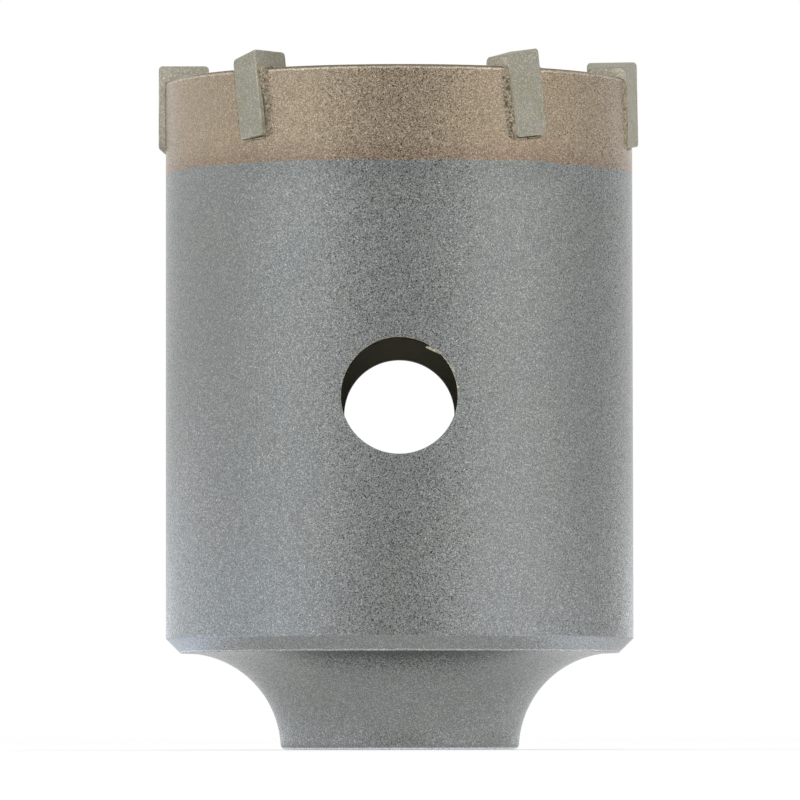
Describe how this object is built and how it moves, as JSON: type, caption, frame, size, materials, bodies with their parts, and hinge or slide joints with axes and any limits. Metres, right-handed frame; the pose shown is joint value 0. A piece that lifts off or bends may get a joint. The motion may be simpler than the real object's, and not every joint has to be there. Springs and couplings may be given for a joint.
{
  "type": "percussion core cutter",
  "caption": "Steel core cutter cup with carbide plates brazed in its rim, a cross hole through both walls and a threaded hub.",
  "frame": {"origin": "centre of the hub's seat face, on the cutter's axis", "axes": "+Z along the axis from the hub to the plates' tips, -Y to the side of one mouth of the cross hole"},
  "size_m": [0.0498, 0.0484, 0.071],
  "materials": {
    "blasted_steel": "shot-blasted matt grey",
    "carbide": "blasted sintered carbide, matt",
    "braze": "dull yellow-brown braze"
  },
  "bodies": {
    "root": {"core_body": "blasted_steel", "carbide_plate_1": "carbide", "carbide_plate_2": "carbide", "carbide_plate_3": "carbide", "carbide_plate_4": "carbide", "carbide_plate_5": "carbide", "carbide_plate_6": "carbide", "braze_seam_1": "braze", "braze_seam_2": "braze", "braze_seam_3": "braze", "braze_seam_4": "braze", "braze_seam_5": "braze", "braze_seam_6": "braze"}
  },
  "joints": []
}
